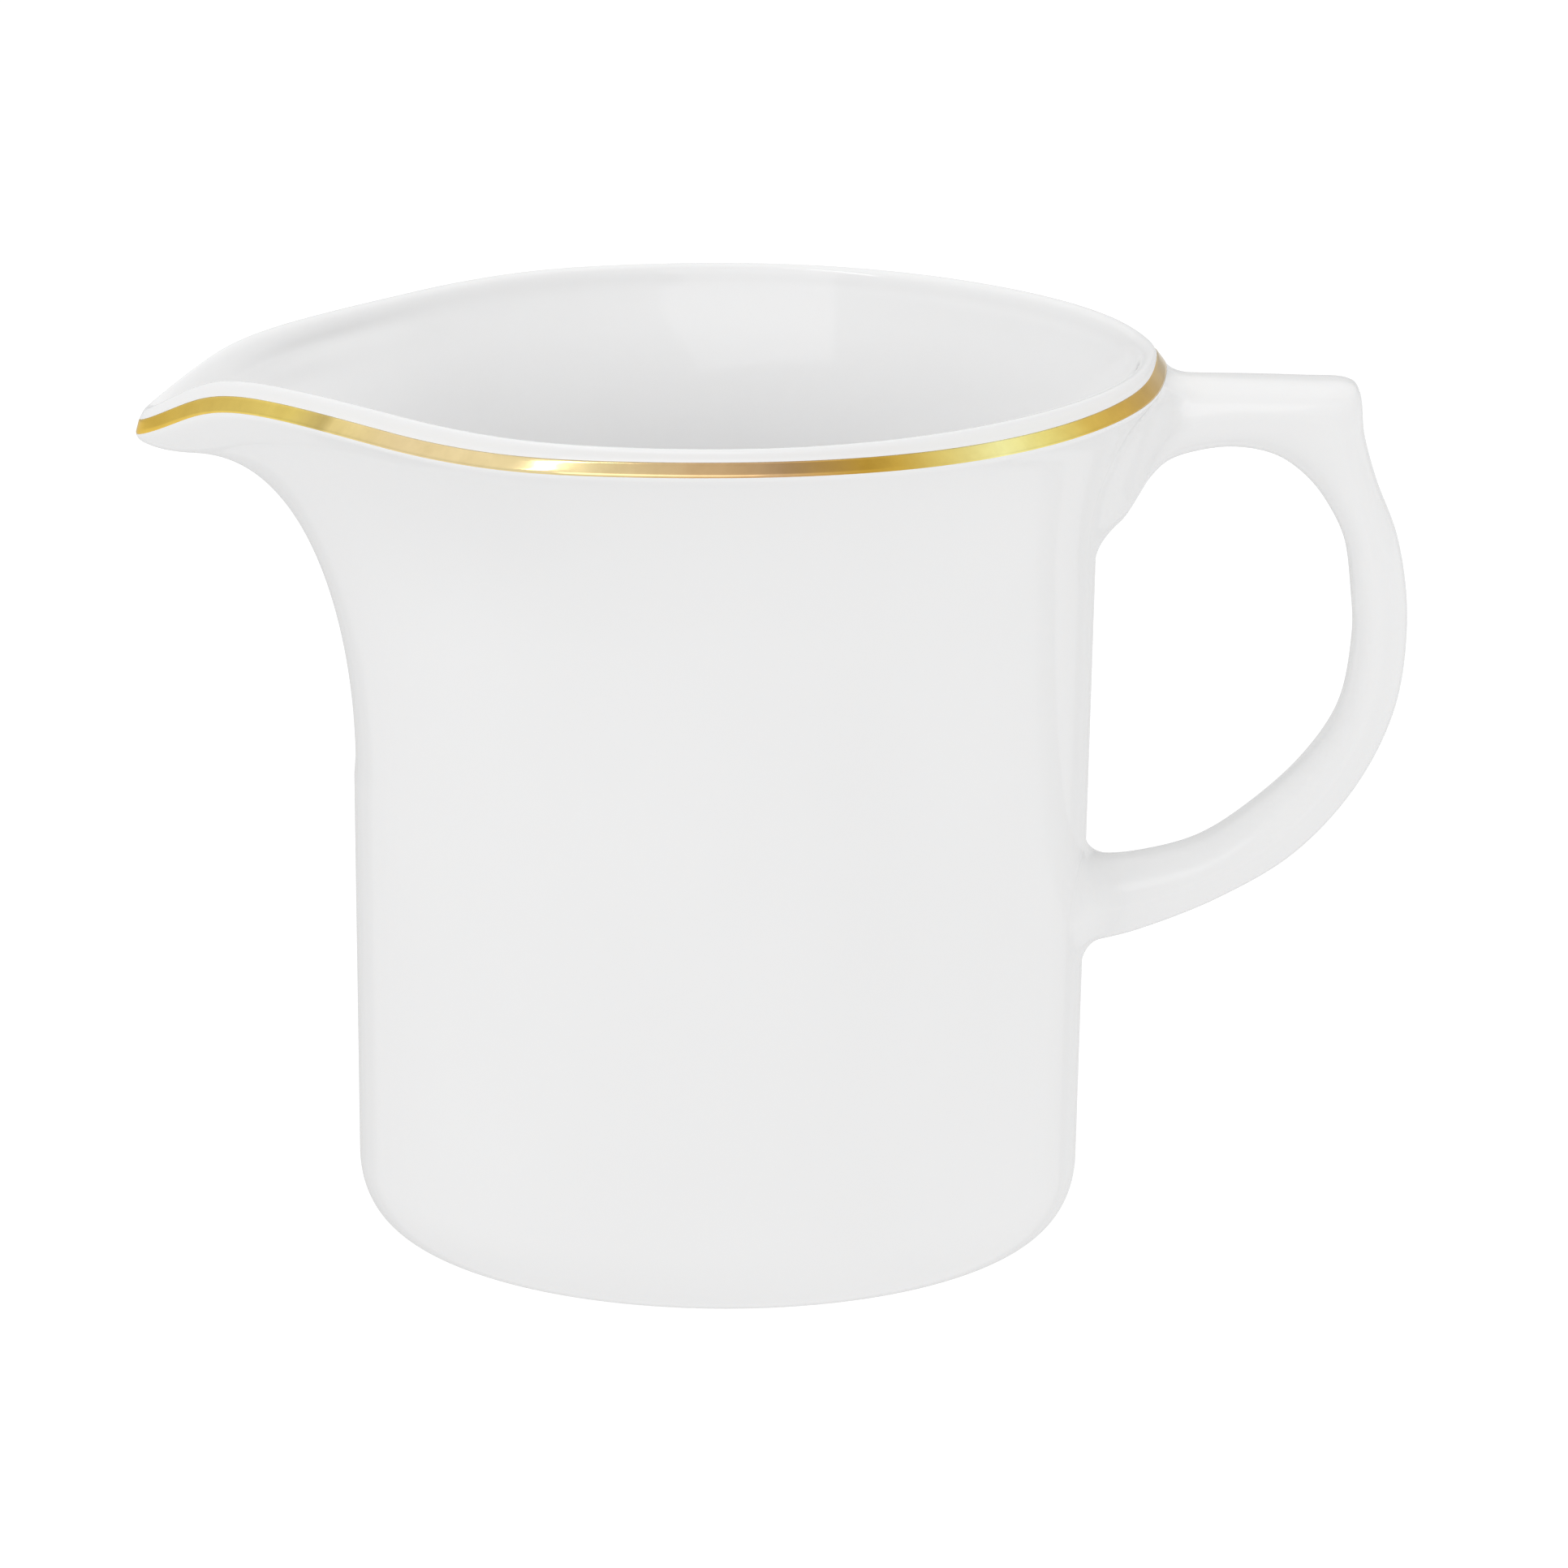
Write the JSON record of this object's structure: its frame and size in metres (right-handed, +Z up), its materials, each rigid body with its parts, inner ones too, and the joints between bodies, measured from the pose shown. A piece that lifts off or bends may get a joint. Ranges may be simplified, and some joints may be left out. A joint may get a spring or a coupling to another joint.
{
  "type": "cream jug",
  "caption": "Porcelain cream jug with a straight round body, flared rim, beaked pouring spout, flat-topped loop handle and a fine gold rim line.",
  "frame": {"origin": "centre of the foot ring's rest plane, on the axis of the round body", "axes": "+Z up, +X towards the handle, -X towards the spout, Y across the jug"},
  "size_m": [0.1169, 0.0812, 0.0828],
  "materials": {
    "glazed_porcelain": "clear gloss glaze over white porcelain",
    "biscuit_porcelain": "unglazed, polished smooth",
    "fired_gold": "bright burnished gold film fired on the glaze"
  },
  "bodies": {
    "root": {"jug_body": "glazed_porcelain", "foot_ring": "biscuit_porcelain", "handle": "glazed_porcelain", "upper_slip_joint": "glazed_porcelain", "lower_slip_joint": "glazed_porcelain", "gold_band": "fired_gold"}
  },
  "joints": []
}
